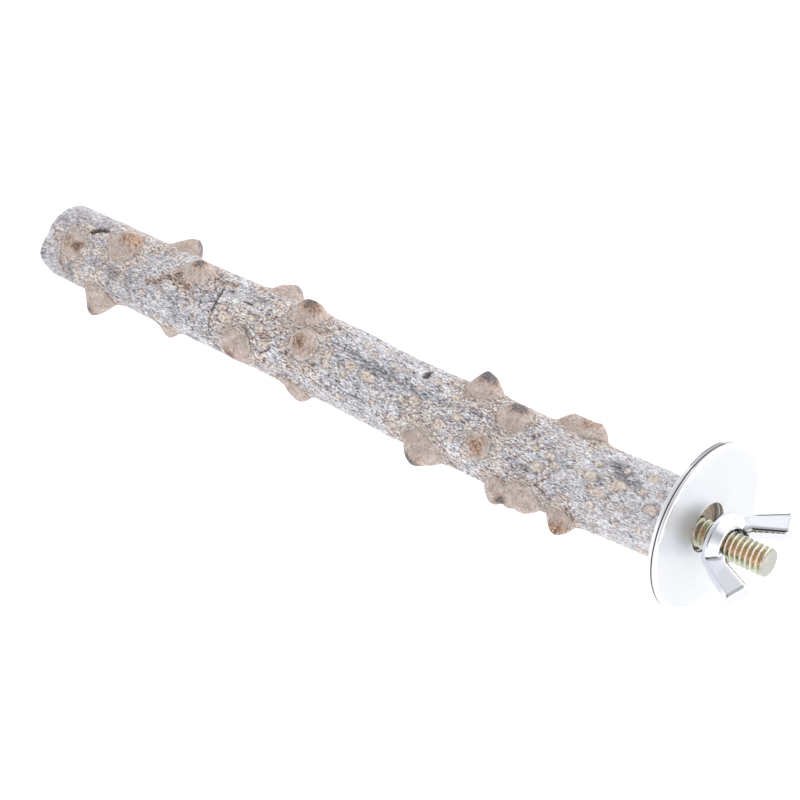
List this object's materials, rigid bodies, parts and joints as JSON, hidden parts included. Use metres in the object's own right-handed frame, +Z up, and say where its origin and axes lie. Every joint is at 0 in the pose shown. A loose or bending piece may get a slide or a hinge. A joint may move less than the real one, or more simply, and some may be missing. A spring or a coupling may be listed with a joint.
{
  "type": "bird perch",
  "caption": "Straight thorny branch perch for a bird cage, its sawn end clamped to the cage wall by a hanger bolt, fender washers and a wing nut",
  "frame": {"origin": "on the axis of the bolt, in the sawn end face of the branch, where the perch comes up against the cage wall", "axes": "+X out of the sawn end along the bolt, the way the wing nut comes off; the branch runs along -X into the cage; +Z up as in the picture; Y across"},
  "size_m": [0.2, 0.0368, 0.0368],
  "materials": {
    "bark": "matte grey bark with pale flecks",
    "thorn": "matte taupe bark, darker at the tip",
    "wood": "raw sawn wood",
    "bolt": "yellow zinc plated steel thread",
    "washer": "bright zinc plated steel",
    "nut": "bright blue zinc plated casting"
  },
  "bodies": {
    "perch": {"bark": "bark", "wood_core": "wood", "thorn_01": "thorn", "thorn_02": "thorn", "thorn_03": "thorn", "thorn_04": "thorn", "thorn_05": "thorn", "thorn_06": "thorn", "thorn_07": "thorn", "thorn_08": "thorn", "thorn_09": "thorn", "thorn_10": "thorn", "thorn_11": "thorn", "thorn_12": "thorn", "thorn_13": "thorn", "thorn_14": "thorn", "thorn_15": "thorn", "thorn_16": "thorn", "thorn_17": "thorn", "thorn_18": "thorn", "thorn_back_1": "thorn", "thorn_back_2": "thorn", "thorn_back_3": "thorn", "thorn_back_4": "thorn", "thorn_back_5": "thorn", "thorn_back_6": "thorn", "thorn_back_7": "thorn", "thorn_back_8": "thorn", "thorn_back_9": "thorn", "hanger_bolt": "bolt"},
    "inner_washer": {"inner_washer": "washer"},
    "outer_washer": {"outer_washer": "washer"},
    "wing_nut": {"wing_nut": "nut"}
  },
  "joints": [
    {"name": "inner_washer_spin", "type": "hinge", "parent": "perch", "child": "inner_washer", "pos_m": [0.00052, 0.00109, 0.00091], "axis": [1, 0, 0], "continuous": true},
    {"name": "outer_washer_slide", "type": "slide", "parent": "perch", "child": "outer_washer", "axis": [1, 0, 0], "range_m": [0, 0.00572]},
    {"name": "wing_nut_turn", "type": "hinge", "parent": "outer_washer", "child": "wing_nut", "pos_m": [0.0071, 0, 0], "axis": [1, 0, 0], "range_deg": [0, 1620]}
  ],
  "couplings": [
    {"joint": "outer_washer_slide", "follows": "wing_nut_turn", "m_per_rad": 0.00020213}
  ]
}
